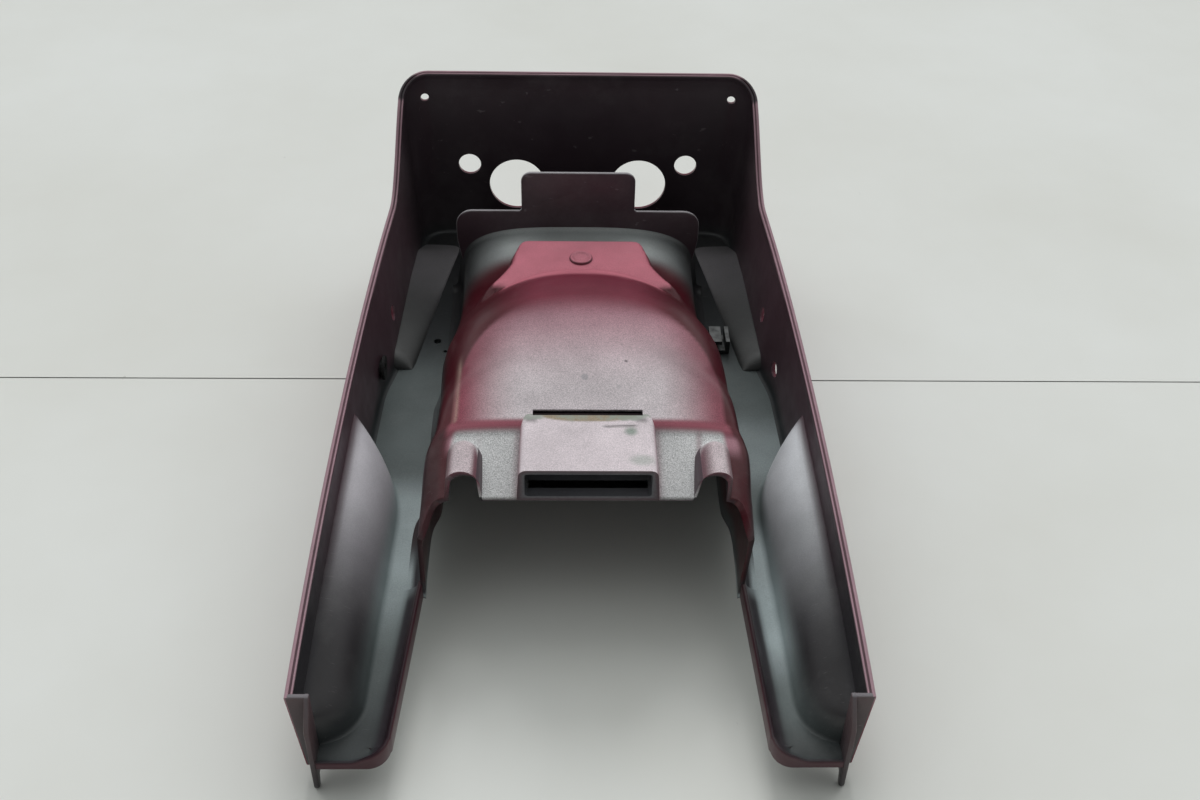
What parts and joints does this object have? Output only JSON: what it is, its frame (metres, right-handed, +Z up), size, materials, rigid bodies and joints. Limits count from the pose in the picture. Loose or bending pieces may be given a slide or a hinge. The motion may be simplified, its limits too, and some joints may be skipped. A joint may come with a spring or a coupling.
{
  "type": "motorcycle rear fender",
  "caption": "One-piece moulded tail fender: side walls with scoops, channel floor, domed wheel arch with a seat-tongue socket, and a tail wall with lamp holes.",
  "frame": {"origin": "under the middle of the part, on the surface that it stands on", "axes": "+Y runs from the front tongues to the tail wall, +Z is up as in the picture, +X is to the right looking towards the tail"},
  "size_m": [0.321, 0.55, 0.177],
  "materials": {
    "painted_plastic": "burgundy metallic paint over black moulded plastic, satin and worn",
    "black_plastic": "black, dusty",
    "black_rubber": "black rubber"
  },
  "bodies": {
    "root": {"fender_shell": "painted_plastic", "wire_clip": "black_plastic", "grommet": "black_rubber"}
  },
  "joints": []
}
